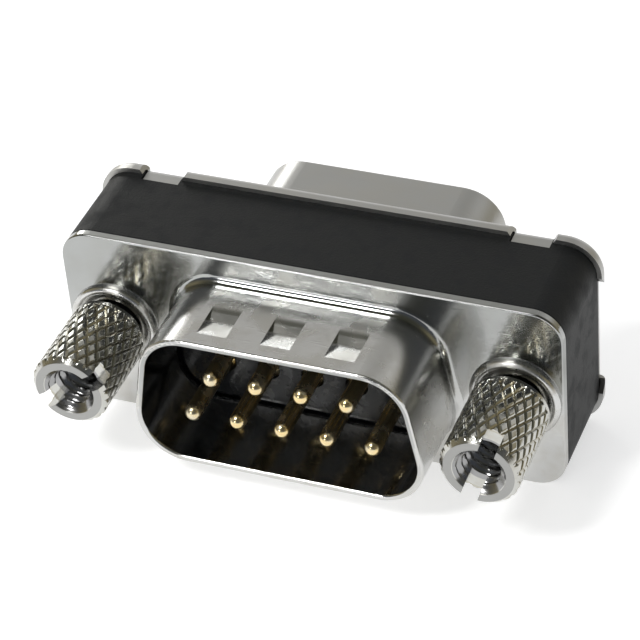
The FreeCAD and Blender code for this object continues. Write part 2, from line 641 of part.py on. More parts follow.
def make_pin_insulator():
    """Floor of the pin cavity, with seats for the contacts' collars."""
    body = new_body("pin_insulator")
    insulator_base(body, "sizes.front_sheet", "sizes.insulator_split")
    nose = front_view(body, "nose_outline", "sizes.front_sheet")
    keystone(
        nose,
        f"{PIN_SHELL_WIDTH} - 2 * sizes.insulator_clearance",
        f"{PIN_SHELL_HEIGHT} - 2 * sizes.insulator_clearance",
        "sizes.pin_shell_corner - sizes.insulator_clearance",
    )
    floor = pad(body, "nose", nose, "sizes.front_sheet")
    fillet(body, "floor_edge", floor, "sizes.floor_round", lambda edge: at_station(edge, "0"))
    contact_holes(
        body, "shank_holes", "0", "sizes.shank_diameter / 2 + sizes.shank_clearance",
        "sizes.front_sheet + sizes.insulator_split",
    )
    contact_holes(
        body, "collar_seats", f"{SPLIT} - sizes.collar_thickness",
        "sizes.collar_diameter / 2 + sizes.barrel_clearance", "sizes.collar_thickness",
    )
    return body


def make_socket_insulator():
    """Block inside the socket shell, with nine funnelled pin entries in its face."""
    body = new_body("socket_insulator")
    insulator_base(body, SPLIT, "sizes.housing_depth - sizes.insulator_split")
    nose = front_view(body, "nose_outline", REAR_FRONT)
    keystone(
        nose,
        f"{SOCKET_SHELL_WIDTH} - 2 * (sizes.socket_shell_wall + sizes.insulator_clearance)",
        f"{SOCKET_SHELL_HEIGHT} - 2 * (sizes.socket_shell_wall + sizes.insulator_clearance)",
        "sizes.socket_shell_corner - sizes.socket_shell_wall - sizes.insulator_clearance",
    )
    face = pad(body, "nose", nose, f"{SOCKET_FACE} - {REAR_FRONT}", backward=True)
    chamfer(body, "nose_edge", face, "sizes.face_chamfer", lambda edge: at_station(edge, SOCKET_FACE))
    contact_holes(
        body, "contact_cavities", SPLIT,
        "sizes.barrel_diameter / 2 + sizes.barrel_clearance", f"{SOCKET_MOUTH} - {SPLIT}",
    )
    entries = contact_holes(
        body, "pin_entries", SOCKET_MOUTH, "sizes.entry_diameter / 2", "sizes.entry_thickness",
    )
    chamfer(
        body, "entry_funnels", entries, "sizes.entry_chamfer",
        lambda edge: at_station(edge, SOCKET_FACE) and edge.isClosed(),
    )
    return body


def make_contact(label, across, up):
    """One-piece contact: pin in front, collar between the insulators, split socket behind."""
    body = new_body(label)
    pin, collar = "sizes.pin_diameter / 2", "sizes.collar_diameter / 2"
    shank = "sizes.shank_diameter / 2"
    barrel, bore = "sizes.barrel_diameter / 2", "sizes.socket_bore / 2"
    bore_end = f"({SOCKET_MOUTH} - sizes.socket_bore_depth)"
    turned(body, "contact", [
        ("0", "-sizes.pin_length", pin, "left"),
        (pin, f"-sizes.pin_length + {pin}"),
        (pin, "-sizes.shank_start"),
        (shank, f"{shank} - {pin} - sizes.shank_start"),
        (shank, f"{SPLIT} - sizes.collar_thickness"),
        (collar, f"{SPLIT} - sizes.collar_thickness"),
        (collar, SPLIT),
        (barrel, SPLIT),
        (barrel, SOCKET_MOUTH),
        (bore, SOCKET_MOUTH),
        (bore, bore_end),
        ("0", f"{bore_end} - {bore} / 2"),
    ])
    slit = sketch_on(body, "slit_outline", "XY_Plane", barrel)
    half = "sizes.slit_width / 2"
    outline(slit, [
        (f"-{half}", f"{SOCKET_MOUTH} - sizes.slit_length"),
        (half, f"{SOCKET_MOUTH} - sizes.slit_length"),
        (half, f"{SOCKET_MOUTH} + {half}"),
        (f"-{half}", f"{SOCKET_MOUTH} + {half}"),
    ])
    pocket(body, "slit", slit, "sizes.barrel_diameter")
    place(body, across, up)
    return body


def make_eyelet(label, sign):
    """Tubular rivet: rolled front ring with a dished mouth, tube, and rear roll."""
    body = new_body(label)
    ring, bead = "sizes.ring_diameter / 2", "sizes.bead_radius"
    bore, tube = "sizes.eyelet_bore / 2", EYELET_RADIUS
    crest = f"({ring} - {bead})"
    valley = f"{crest} - sqrt({bead} ^ 2 - (sizes.dish_edge - sizes.bead_seat) ^ 2)"
    turned(body, "rivet", [
        (tube, "0"),
        (ring, "0"),
        (ring, "-sizes.bead_seat", bead, "right"),
        (crest, f"-(sizes.bead_seat + {bead})", bead, "right"),
        (valley, "-sizes.dish_edge"),
        (f"{bore} + sizes.dish_radius", "-sizes.dish_edge", "sizes.dish_radius", "right"),
        (bore, "sizes.dish_radius - sizes.dish_edge"),
        (bore, f"{CLINCH_TOP} - sizes.bore_chamfer"),
        (f"{bore} + sizes.bore_chamfer", CLINCH_TOP),
        (
            "sizes.clinch_diameter / 2 - sizes.clinch_thickness", CLINCH_TOP,
            "sizes.clinch_thickness", "right",
        ),
        ("sizes.clinch_diameter / 2", REAR_FACE),
        (tube, REAR_FACE),
    ])
    place(body, f"{sign}{SCREW_PLACE}")
    return body


def make_screw_blank():
    """Captive screw before its slot is cut: knurled head, shank, clip groove and rear stud."""
    body = new_body("screw_blank")
    back, face = HEAD_BACK, HEAD_FACE
    head = "sizes.head_diameter / 2"
    mouth = f"{head} - sizes.head_chamfer - sizes.face_land"
    neck, groove = "sizes.neck_diameter / 2", "sizes.groove_diameter / 2"
    stud, hole = "sizes.stud_diameter / 2", "sizes.thread_hole_diameter / 2"
    groove_front = f"{CLIP_FRONT} - sizes.groove_clearance"
    groove_rear = f"{CLIP_FRONT} + sizes.clip_thickness + sizes.groove_clearance"
    tip = f"({REAR_FACE} + sizes.stud_reach)"
    turned(body, "screw", [
        (mouth, face),
        (f"{head} - sizes.head_chamfer", face),
        (head, f"{face} + sizes.head_chamfer"),
        (head, f"{back} - sizes.head_chamfer"),
        (f"{head} - sizes.head_chamfer", back),
        (neck, back),
        (neck, groove_front),
        (groove, groove_front),
        (groove, groove_rear),
        (stud, groove_rear),
        (stud, f"{tip} - sizes.stud_chamfer"),
        (f"{stud} - sizes.stud_chamfer", tip),
        ("0", tip),
        ("0", f"{face} + sizes.thread_hole_depth + sizes.drill_point"),
        (hole, f"{face} + sizes.thread_hole_depth"),
        (hole, f"{face} + sizes.mouth_depth"),
    ])
    knurl(body)
    return body


def knurl(body):
    """Main grooves of the head's diamond knurl: two slanted sets that cross."""
    head, above = "sizes.head_diameter / 2", "sizes.knurl_depth / 2"
    half = f"sizes.knurl_width / 2 * (1 + {above} / sizes.knurl_depth)"
    section = front_view(body, "knurl_section", f"{HEAD_FACE} - sizes.head_chamfer")
    outline(section, [
        (f"{head} - sizes.knurl_depth", "0"),
        (f"{head} + {above}", f"-({half})"),
        (f"{head} + {above}", half),
    ])
    for slant, left in (("right", False), ("left", True)):
        groove = body.newObject("PartDesign::SubtractiveHelix", f"{slant}_groove")
        groove.Profile = section
        groove.ReferenceAxis = (section, ["N_Axis"])
        groove.setExpression("Pitch", f"2 * pi * {head} / tan(sizes.knurl_angle)")
        groove.setExpression("Height", "sizes.head_length - sizes.knurl_band")
        groove.LeftHanded = left
        groove.Reversed = True
        doc.recompute()
        ring = body.newObject("PartDesign::PolarPattern", f"{slant}_grooves")
        ring.Originals = [groove]
        ring.Axis = (section, ["N_Axis"])
        ring.Occurrences = KNURL_COUNT
        body.Tip = ring
        doc.recompute()


def make_jackscrew(label, sign, slot_angle, blank):
    """Captive screw: the blank with a screwdriver slot across its head."""
    body = new_body(label)
    body.BaseFeature = blank
    slot = front_view(body, "slot_outline", HEAD_FACE)
    run, rise = f"cos({slot_angle})", f"sin({slot_angle})"
    corners = (("", "-"), ("", ""), ("-", ""), ("-", "-"))
    outline(slot, [
        (
            f"{along}sizes.head_diameter * {run} - ({aside}sizes.slot_width / 2 * {rise})",
            f"{along}sizes.head_diameter * {rise} + ({aside}sizes.slot_width / 2 * {run})",
        )
        for along, aside in corners
    ])
    pocket(body, "slot", slot, "sizes.slot_depth")
    place(body, f"{sign}{SCREW_PLACE}")
    return body


def make_clip(label, sign):
    """Spring clip with an open throat, three gripping lands and two reliefs between them."""
    body = new_body(label)
    grip = "(sizes.groove_diameter / 2 + sizes.clip_clearance)"
    relief, outside = "sizes.clip_relief / 2", "sizes.clip_diameter / 2"
    disc = front_view(body, "disc_outline", CLIP_FRONT)
    circle(disc, "0", "0", outside)
    pad(body, "disc", disc, "sizes.clip_thickness", backward=True)
    hole = front_view(body, "grip_outline", CLIP_FRONT)
    circle(hole, "0", "0", grip)
    pocket(body, "grip", hole, "sizes.clip_thickness")

    throat = front_view(body, "throat_outline", CLIP_FRONT)
    half = "sizes.clip_throat / 2"
    outline(throat, [
        (f"-{half}", "0"), (f"-{half}", f"-{grip}"),
        (f"-({half} + sizes.clip_thickness)", f"-({outside} + sizes.clip_thickness)"),
        (f"{half} + sizes.clip_thickness", f"-({outside} + sizes.clip_thickness)"),
        (half, f"-{grip}"), (half, "0"),
    ])
    pocket(body, "throat", throat, "sizes.clip_thickness")

    reliefs = front_view(body, "relief_outline", CLIP_FRONT)
    run, rise = "sin(sizes.clip_land)", "cos(sizes.clip_land)"
    inner = f"({grip} - sizes.clip_overcut)"
    for side, turn in (("", "right"), ("-", "left")):
        outline(reliefs, [
            (f"{side}{inner} * {run}", f"{inner} * {rise}"),
            (f"{side}{relief} * {run}", f"{relief} * {rise}", relief, turn),
            (f"{side}{relief}", "0"),
            (f"{side}{inner}", "0"),
        ])
    pocket(body, "reliefs", reliefs, "sizes.clip_thickness")
    place(body, f"{sign}{SCREW_PLACE}")
    return body


def build_all():
    bodies = [
        make_pin_shell(),
        make_socket_shell(),
        make_housing(),
        make_pin_insulator(),
        make_socket_insulator(),
    ]
    for index, (across, up) in enumerate(contact_places(), start=1):
        bodies.append(make_contact(f"contact_{index}", across, up))
    blank = make_screw_blank()
    for side, sign in (("left", "-"), ("right", "")):
        bodies.append(make_eyelet(f"eyelet_{side}", sign))
        bodies.append(make_jackscrew(f"jackscrew_{side}", sign, f"sizes.slot_angle_{side}", blank))
        bodies.append(make_clip(f"retaining_clip_{side}", sign))
    doc.recompute()
    return bodies


def check(bodies):
    """Stop on a failed feature, a cut that removed nothing or a shape that isn't one solid."""
    for item in doc.Objects:
        if "Invalid" in item.State or "Error" in item.State:
            raise RuntimeError(f"{item.Name} failed: {item.State}")
        if item.TypeId == "PartDesign::Pocket":
            if item.Shape.Volume > item.BaseFeature.Shape.Volume - NEAR:
                raise RuntimeError(f"{item.Name} cuts nothing")
    for body in bodies:
        shape = body.Shape
        if shape.isNull() or not shape.isValid() or len(shape.Solids) != 1:
            raise RuntimeError(f"{body.Label} isn't one valid solid")


def write(bodies):
    os.makedirs("parts", exist_ok=True)
    for body in bodies:
        body.Shape.exportStep(f"parts/{body.Label}.step")


pieces = build_all()
check(pieces)
write(pieces)
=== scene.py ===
import math

import bmesh
import bpy
import numpy as np
from bpy.props import FloatProperty, FloatVectorProperty, IntProperty, PointerProperty
from mathutils import Matrix, Vector


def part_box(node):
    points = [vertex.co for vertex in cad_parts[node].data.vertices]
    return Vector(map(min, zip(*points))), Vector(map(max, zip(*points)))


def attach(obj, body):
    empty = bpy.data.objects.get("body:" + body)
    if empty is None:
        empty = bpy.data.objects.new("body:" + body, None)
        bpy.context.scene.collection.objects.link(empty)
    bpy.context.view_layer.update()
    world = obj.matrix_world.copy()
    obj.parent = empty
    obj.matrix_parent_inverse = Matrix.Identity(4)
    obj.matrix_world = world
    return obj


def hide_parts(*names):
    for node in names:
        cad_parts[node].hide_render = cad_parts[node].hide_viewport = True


bl_info = {
    "name": "D-sub Adapter Looks",
    "version": (1, 0, 0),
    "blender": (4, 5, 0),
    "location": "3D View > Sidebar > D-sub",
    "description": "Finishes, jackscrews and studio for a slim 9-way D-sub adapter",
    "category": "Object",
}

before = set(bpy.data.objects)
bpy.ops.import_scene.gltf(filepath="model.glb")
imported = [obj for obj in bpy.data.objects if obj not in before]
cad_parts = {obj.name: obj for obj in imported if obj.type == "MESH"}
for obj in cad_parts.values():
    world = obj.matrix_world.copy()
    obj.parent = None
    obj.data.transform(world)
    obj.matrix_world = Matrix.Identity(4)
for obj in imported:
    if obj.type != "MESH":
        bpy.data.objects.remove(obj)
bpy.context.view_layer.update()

MM = 0.001
FULL_TURN = 2 * math.pi
SOCKET_SHELL_DEPTH = 6.0 * MM
FLANGE_MIDDLE = 0.24 * MM
FLOOR_GAP = 0.02 * MM
FLOOR_REACH = 0.9
CREASE = math.radians(32)
SHANK_OVERLAP = 0.2 * MM
KNURL_STEPS = 16
THREAD_STEPS = 12
STUD_STEPS = 14
SHANK_SIDES = 96
SIDES = ("left", "right")
CONTACTS = [f"contact_{number}" for number in range(1, 10)]


# Sizes and colours that a user may change.


class ScrewSizes(bpy.types.PropertyGroup):
    """Shape of the two jackscrews, beyond what the solids hold."""

    knurl_count: IntProperty(
        name="Knurl Diamonds", description="Diamonds round the head", default=22, min=12
    )
    knurl_angle: FloatProperty(
        name="Knurl Angle", description="Slant of the knurl's grooves from the screw's axis",
        default=math.radians(26.5), subtype="ANGLE",
    )
    knurl_depth: FloatProperty(
        name="Knurl Depth", description="Depth of the knurl's grooves",
        default=0.12 * MM, unit="LENGTH", precision=6,
    )
    knurl_width: FloatProperty(
        name="Knurl Width", description="Width of the knurl's grooves across the head",
        default=0.28 * MM, unit="LENGTH", precision=6,
    )
    chamfer: FloatProperty(
        name="Head Chamfer", description="Chamfer at both ends of the head",
        default=0.3 * MM, unit="LENGTH", precision=6,
    )
    plain_band: FloatProperty(
        name="Plain Band", description="Unknurled band at the back of the head",
        default=0.25 * MM, unit="LENGTH", precision=6,
    )
    head_length: FloatProperty(
        name="Head Length", description="Length of the knurled head",
        default=5.95 * MM, unit="LENGTH", precision=6,
    )
    mouth: FloatProperty(
        name="Mouth Radius", description="Funnel of the head's thread, at the face",
        default=1.6 * MM, unit="LENGTH", precision=6,
    )
    hole: FloatProperty(
        name="Hole Radius", description="Head's thread, at its crests",
        default=1.15 * MM, unit="LENGTH", precision=6,
    )
    hole_depth: FloatProperty(
        name="Hole Depth", description="Threaded length of the head's hole",
        default=4.6 * MM, unit="LENGTH", precision=6,
    )
    drill_point: FloatProperty(
        name="Drill Point", description="Cone at the end of the hole",
        default=0.6 * MM, unit="LENGTH", precision=6,
    )
    pitch: FloatProperty(
        name="Thread Pitch", description="Distance between two crests of a thread",
        default=0.635 * MM, unit="LENGTH", precision=6,
    )
    thread_depth: FloatProperty(
        name="Thread Depth", description="Depth of the threads",
        default=0.27 * MM, unit="LENGTH", precision=6,
    )
    slot_width: FloatProperty(
        name="Slot Width", description="Width of the screwdriver slot",
        default=1.0 * MM, unit="LENGTH", precision=6,
    )
    slot_depth: FloatProperty(
        name="Slot Depth", description="Depth of the screwdriver slot",
        default=1.2 * MM, unit="LENGTH", precision=6,
    )
    slot_left: FloatProperty(
        name="Left Slot", description="Turn of the left head's slot",
        default=math.radians(32), subtype="ANGLE",
    )
    slot_right: FloatProperty(
        name="Right Slot", description="Turn of the right head's slot",
        default=math.radians(72), subtype="ANGLE",
    )
    neck: FloatProperty(
        name="Neck Radius", description="Plain shank behind the head",
        default=1.25 * MM, unit="LENGTH", precision=6,
    )
    groove: FloatProperty(
        name="Groove Radius", description="Bottom of the clip's groove",
        default=0.95 * MM, unit="LENGTH", precision=6,
    )
    groove_start: FloatProperty(
        name="Groove Start", description="Front of the clip's groove, from the flange's face",
        default=7.75 * MM, unit="LENGTH", precision=6,
    )
    groove_end: FloatProperty(
        name="Groove End", description="Rear of the clip's groove, from the flange's face",
        default=8.19 * MM, unit="LENGTH", precision=6,
    )
    stud: FloatProperty(
        name="Stud Radius", description="Rear thread, over its crests",
        default=1.4225 * MM, unit="LENGTH", precision=6,
    )
    tip_chamfer: FloatProperty(
        name="Tip Chamfer", description="Chamfer at the stud's tip",
        default=0.35 * MM, unit="LENGTH", precision=6,
    )


def colour(name, description, default):
    return FloatVectorProperty(
        name=name, description=description, default=default, size=4, subtype="COLOR", min=0, max=1
    )


class Finishes(bpy.types.PropertyGroup):
    """Colours of the finishes, with painted shade in some of them: the front flange's upper part, the heads'
    faces and threads, and the knurl's grooves.
    """

    nickel: colour("Nickel", "Polished front flange and D shell", (0.60, 0.60, 0.59, 1))
    # Painted shade: a darker nickel for the front flange's upper part, standing in for the darker reflection
    # there; the plating there is not duller.
    nickel_painted_shade: colour("Painted Shade Nickel", "Upper part of the front flange", (0.30, 0.31, 0.305, 1))
    nickel_warm: colour("Warm Nickel", "Thin spots of the plating", (0.48, 0.46, 0.41, 1))
    satin: colour("Satin Nickel", "Rear flange, rim and D shell", (0.42, 0.42, 0.41, 1))
    screw: colour("Screw Nickel", "Jackscrews", (0.53, 0.53, 0.505, 1))
    # Partly painted shade: a yellowish tint of thin plating in random blotches, and painted shade in the
    # knurl's grooves.
    screw_tint_and_shade: colour("Screw Tint and Shade", "Yellowish tint between the knurl's diamonds", (0.42, 0.39, 0.31, 1))
    # Partly painted shade: the heads' machined faces, painted darker for the dark they reflect.
    turned_face_shade: colour("Turned Face", "Machined face of the heads", (0.34, 0.34, 0.33, 1))
    # Painted shade: a darker grey for the funnel and threads inside the heads.
    thread_painted_shade: colour("Thread Shade", "Threads inside the heads", (0.32, 0.32, 0.32, 1))
    gold: colour("Gold", "Contacts", (0.78, 0.62, 0.33, 1))
    gold_pale: colour("Pale Gold", "Thin spots of the contacts' plating", (0.70, 0.63, 0.47, 1))
    moulding: colour("Housing", "Moulded block", (0.007, 0.008, 0.008, 1))
    moulding_dull: colour("Dull Housing", "Slightly paler mottling of the block", (0.010, 0.011, 0.012, 1))
    insulator: colour("Insulators", "Black contact carriers", (0.008, 0.009, 0.012, 1))
    steel: colour("Spring Steel", "Retaining clips", (0.36, 0.35, 0.33, 1))
    dust: colour("Dust", "Specks of dust", (0.12, 0.12, 0.11, 1))


class StudioSizes(bpy.types.PropertyGroup):
    """Light, floor and view of the studio."""

    floor: colour("Floor", "Plain pale floor", (0.80, 0.80, 0.79, 1))
    floor_lift: FloatProperty(
        name="Floor Lift", description="How much whiter the floor looks to the camera",
        default=0.55, min=0, subtype="FACTOR",
    )
    key: FloatProperty(
        name="Key Light", description="Soft box above and in front of the object",
        default=0.12, min=0, unit="POWER",
    )
    fill: FloatProperty(
        name="Fill Light", description="Soft box low in front of the object",
        default=0.04, min=0, unit="POWER",
    )
    rim: FloatProperty(
        name="Rim Light", description="Low strip behind the object, beside the backdrop",
        default=0.06, min=0, unit="POWER",
    )
    room: FloatProperty(
        name="Room Light", description="Even light from all sides", default=0.45, min=0,
    )
    ceiling: colour("Ceiling", "Dark ceiling that shows in the metal", (0.075, 0.075, 0.055, 1))
    sides: colour("Sides", "Room beside the backdrop that shows in the metal", (0.33, 0.29, 0.18, 1))
    front: colour("Front", "Room in front of the object that shows in the metal", (0.10, 0.11, 0.13, 1))
    lens: FloatProperty(
        name="Lens", description="Focal length of the camera, in millimetres",
        default=158.3, min=20,
    )


# Node trees.


def add_node(tree, kind, values=None, **settings):
    """New node, with its settings and the values of its unlinked inputs."""
    node = tree.nodes.new(kind)
    for name, value in settings.items():
        setattr(node, name, value)
    for name, value in (values or {}).items():
        node.inputs[name].default_value = value
    return node


def math_node(tree, operation, first, second=None, clamp=False):
    node = add_node(tree, "ShaderNodeMath", operation=operation, use_clamp=clamp)
    for socket, value in zip(node.inputs, (first, second)):
        if isinstance(value, bpy.types.NodeSocket):
            tree.links.new(value, socket)
        elif value is not None:
            socket.default_value = value
    return node.outputs["Value"]


def ramp(tree, value, low, high, to_low=0.0, to_high=1.0):
    """Smooth step of a value from low to high."""
    node = add_node(tree, "ShaderNodeMapRange", interpolation_type="SMOOTHSTEP", values={
        "From Min": low, "From Max": high, "To Min": to_low, "To Max": to_high,
    })
    tree.links.new(value, node.inputs["Value"])
    return node.outputs["Result"]


def mix_colours(tree, mask, first, second):
    """Colour that goes from the first to the second as the mask goes from 0 to 1."""
    node = add_node(tree, "ShaderNodeMix", data_type="RGBA")
    tree.links.new(mask, node.inputs[0])
    for socket, value in ((node.inputs[6], first), (node.inputs[7], second)):
        if isinstance(value, bpy.types.NodeSocket):
            tree.links.new(value, socket)
        else:
            socket.default_value = value
    return node.outputs[2]


def new_group(name, inputs, outputs):
    """Shader node group with named inputs, given with their defaults, and named outputs."""
    tree = bpy.data.node_groups.new(name, "ShaderNodeTree")
    tree.interface.new_socket("Vector", in_out="INPUT", socket_type="NodeSocketVector")
    for label, default in inputs:
        socket = tree.interface.new_socket(label, in_out="INPUT", socket_type="NodeSocketFloat")
        socket.default_value = default
    for label in outputs:
        tree.interface.new_socket(label, in_out="OUTPUT", socket_type="NodeSocketFloat")
    return tree, tree.nodes.new("NodeGroupInput"), tree.nodes.new("NodeGroupOutput")


def plated_sheet_group():
    """Uneven plating: soft blotches, fine grain and shallow scuffs."""
    tree, given, result = new_group(
        "Plated Sheet", [("Blotch Scale", 500), ("Grain Scale", 9000), ("Grain Share", 0.3)],
        ["Blotches", "Height"],
    )
    blotches = add_node(tree, "ShaderNodeTexNoise", {"Detail": 3, "Roughness": 0.6})
    grain = add_node(tree, "ShaderNodeTexNoise", {"Detail": 2, "Roughness": 0.5})
    swell = add_node(tree, "ShaderNodeTexNoise", {"Detail": 1, "Roughness": 0.4})
    for texture, scale in ((blotches, "Blotch Scale"), (grain, "Grain Scale"), (swell, "Blotch Scale")):
        tree.links.new(given.outputs["Vector"], texture.inputs["Vector"])
        tree.links.new(given.outputs[scale], texture.inputs["Scale"])
    stretched = add_node(tree, "ShaderNodeMapping", {"Scale": (0.12, 1.0, 1.0), "Rotation": (0.3, 0.2, 0.5)})
    scuffs = add_node(tree, "ShaderNodeTexNoise", {"Scale": 5200, "Detail": 2, "Roughness": 0.7})
    tree.links.new(given.outputs["Vector"], stretched.inputs["Vector"])
    tree.links.new(stretched.outputs["Vector"], scuffs.inputs["Vector"])
    lines = ramp(tree, scuffs.outputs["Fac"], 0.60, 0.72, 0.0, -0.35)
    fine = math_node(tree, "MULTIPLY", grain.outputs["Fac"], given.outputs["Grain Share"])
    broad = math_node(tree, "MULTIPLY", swell.outputs["Fac"], 2.2)
    height = math_node(tree, "ADD", math_node(tree, "ADD", fine, broad), lines)
    tree.links.new(ramp(tree, blotches.outputs["Fac"], 0.40, 0.68), result.inputs["Blotches"])
    tree.links.new(height, result.inputs["Height"])
    return tree


def moulded_grain_group():
    """Spark-eroded texture of a mould: fine pits and a faint mottle."""
    tree, given, result = new_group(
        "Moulded Grain", [("Grain Scale", 9000), ("Mottle Scale", 900)], ["Mottle", "Height"]
    )
    grain = add_node(tree, "ShaderNodeTexNoise", {"Detail": 3, "Roughness": 0.65})
    pits = add_node(tree, "ShaderNodeTexVoronoi", {"Randomness": 1.0})
    mottle = add_node(tree, "ShaderNodeTexNoise", {"Detail": 4, "Roughness": 0.6})
    for texture, scale in ((grain, "Grain Scale"), (pits, "Grain Scale"), (mottle, "Mottle Scale")):
        tree.links.new(given.outputs["Vector"], texture.inputs["Vector"])
        tree.links.new(given.outputs[scale], texture.inputs["Scale"])
    height = math_node(tree, "ADD", grain.outputs["Fac"], math_node(
        tree, "MULTIPLY", pits.outputs["Distance"], 0.6
    ))
    tree.links.new(ramp(tree, mottle.outputs["Fac"], 0.40, 0.70), result.inputs["Mottle"])
    tree.links.new(height, result.inputs["Height"])
    return tree


def dust_group():
    """Sparse specks: one in some of the cells of a random grid."""
    tree, given, result = new_group(
        "Dust Specks", [("Cell Scale", 600), ("Speck Size", 0.05), ("Empty Share", 0.9)], ["Specks"]
    )
    cells = add_node(tree, "ShaderNodeTexVoronoi", {"Randomness": 1.0})
    tree.links.new(given.outputs["Vector"], cells.inputs["Vector"])
    tree.links.new(given.outputs["Cell Scale"], cells.inputs["Scale"])
    near = math_node(tree, "LESS_THAN", cells.outputs["Distance"], None)
    tree.links.new(given.outputs["Speck Size"], near.node.inputs[1])
    chosen = add_node(tree, "ShaderNodeSeparateColor")
    tree.links.new(cells.outputs["Color"], chosen.inputs["Color"])
    kept = math_node(tree, "GREATER_THAN", chosen.outputs["Red"], None)
    tree.links.new(given.outputs["Empty Share"], kept.node.inputs[1])
    tree.links.new(math_node(tree, "MULTIPLY", near, kept), result.inputs["Specks"])
    return tree


def place_group(tree, name, vector, **values):
    """Node of a shared group; each keyword is the name of one of its inputs."""
    node = add_node(tree, "ShaderNodeGroup", node_tree=bpy.data.node_groups[name])
    tree.links.new(vector, node.inputs["Vector"])
    for label, value in values.items():
        node.inputs[label.replace("_", " ").title()].default_value = value
    return node


def new_material(name, metallic, values=None):
    """Material with one Principled shader; returns it, its tree, its shader and object coordinates."""
    material = bpy.data.materials.new(name)
    material.use_nodes = True
    tree = material.node_tree
    shader = next(node for node in tree.nodes if node.bl_idname == "ShaderNodeBsdfPrincipled")
    shader.inputs["Metallic"].default_value = metallic
    for label, value in (values or {}).items():
        shader.inputs[label].default_value = value
    where = add_node(tree, "ShaderNodeTexCoord").outputs["Object"]
    return material, tree, shader, where


def paint(tree, shader, tone, roughness):
    """Link a colour and a roughness to a shader."""
    tree.links.new(tone, shader.inputs["Base Color"])
    tree.links.new(roughness, shader.inputs["Roughness"])


def bump(tree, shader, height, distance):
    node = add_node(tree, "ShaderNodeBump", {"Distance": distance, "Strength": 1.0})
    tree.links.new(height, node.inputs["Height"])
    tree.links.new(node.outputs["Normal"], shader.inputs["Normal"])


def axes(tree, where):
    """Outputs for X, Y and Z of a position."""
    parts = add_node(tree, "ShaderNodeSeparateXYZ")
    tree.links.new(where, parts.inputs["Vector"])
    return parts.outputs["X"], parts.outputs["Y"], parts.outputs["Z"]


def facing_out(tree, where):
    """1 where a surface looks away from the connector's axis, 0 where it looks towards it."""
    sideways = add_node(tree, "ShaderNodeVectorMath", {1: (1, 0, 1)}, operation="MULTIPLY")
    tree.links.new(where, sideways.inputs[0])
    product = add_node(tree, "ShaderNodeVectorMath", operation="DOT_PRODUCT")
    tree.links.new(sideways.outputs["Vector"], product.inputs[0])
    tree.links.new(add_node(tree, "ShaderNodeNewGeometry").outputs["Normal"], product.inputs[1])
    return math_node(tree, "GREATER_THAN", product.outputs["Value"], 0.0)


def weighed(tree, base, *shares):
    """Base value plus each mask times its weight."""
    total = base
    for mask, weight in shares:
        node = math_node(tree, "MULTIPLY_ADD", mask, weight).node
        if isinstance(total, bpy.types.NodeSocket):
            tree.links.new(total, node.inputs[2])
        else:
            node.inputs[2].default_value = total
        total = node.outputs["Value"]
    return total


def dress(name, material):
    """Put a material on every slot of a solid."""
    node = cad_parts[name]
    for slot in node.material_slots:
        slot.material = material


# Meshes.


def lathe(rows, count, slant=None):
    """Skin of rings about Y. A row is (station, radii); slant picks each quad's diagonal."""
    turns = np.arange(count) * FULL_TURN / count
    points = []
    for station, radii in rows:
        radii = np.broadcast_to(radii, (count,))
        points.append(np.stack([radii * np.cos(turns), np.full(count, station), radii * np.sin(turns)], 1))
    faces = []
    for row in range(len(rows) - 1):
        low, high = row * count, (row + 1) * count
        for column in range(count):
            following = (column + 1) % count
            a, b, c, d = low + column, low + following, high + following, high + column
            if slant is None:
                faces.append((a, b, c, d))
            elif slant(row, column):
                faces += [(a, b, c), (a, c, d)]
            else:
                faces += [(a, b, d), (b, c, d)]
    return np.concatenate(points), faces


def closed_mesh(name, points, faces, caps):
    """Mesh of a skin closed by fans onto its axis; a cap is (first vertex, count, station)."""
    points = list(map(tuple, points))
    for first, count, station in caps:
        centre = len(points)
        points.append((0.0, station, 0.0))
        faces += [(first + column, first + (column + 1) % count, centre) for column in range(count)]
    mesh = bpy.data.meshes.new(name)
    mesh.from_pydata(points, [], faces)
    work = bmesh.new()
    work.from_mesh(mesh)
    bmesh.ops.remove_doubles(work, verts=work.verts, dist=1e-7)
    bmesh.ops.dissolve_degenerate(work, edges=work.edges, dist=1e-8)
    bmesh.ops.recalc_face_normals(work, faces=work.faces)
    work.to_mesh(mesh)
    work.free()
    return mesh


def thread_profile(station, turns, pitch):
    """0 in the root and 1 on the crest of a right-hand thread, with rounded flanks."""
    phase = np.mod(station / pitch + turns / FULL_TURN, 1.0)
    ridge = np.abs(2 * phase - 1)
    rise = np.clip((ridge - 0.10) / 0.76, 0, 1)
    return rise * rise * (3 - 2 * rise) * 0.45 + rise * 0.55


